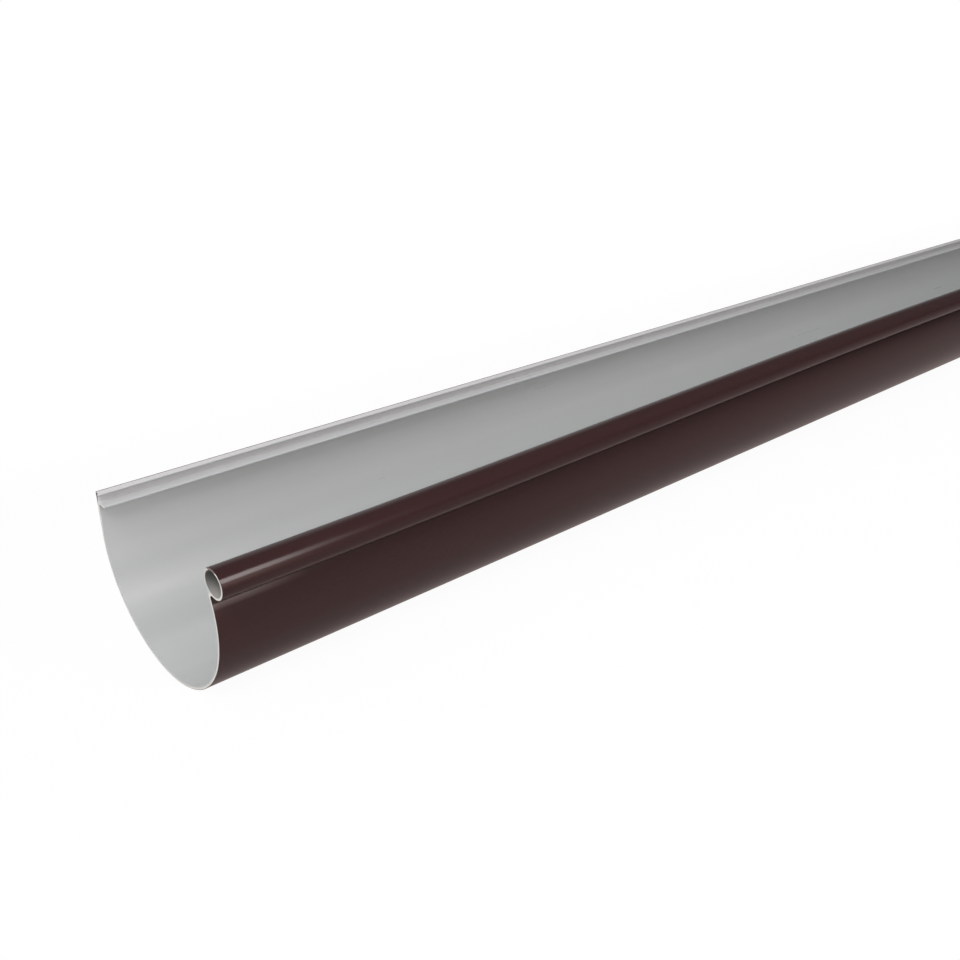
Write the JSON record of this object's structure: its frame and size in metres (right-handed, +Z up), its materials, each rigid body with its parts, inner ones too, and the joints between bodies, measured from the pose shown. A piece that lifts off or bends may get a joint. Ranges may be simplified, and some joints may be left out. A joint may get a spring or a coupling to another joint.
{
  "type": "gutter section",
  "caption": "Length of deep half-round PVC-U roof gutter with a hollow round front bead, and a bracket groove along its straight back wall, brown outside, grey inside.",
  "frame": {"origin": "floor level, under the middle of the bounding box of the gutter as it lies by itself on a level floor", "axes": "+X along the gutter, towards its far end; the front bead is on the -Y side and the back wall on the +Y side; +Z up"},
  "size_m": [2, 0.1457, 0.1147],
  "materials": {
    "brown_pvc": "satin"
  },
  "bodies": {
    "root": {"gutter_profile": "brown_pvc"}
  },
  "joints": []
}
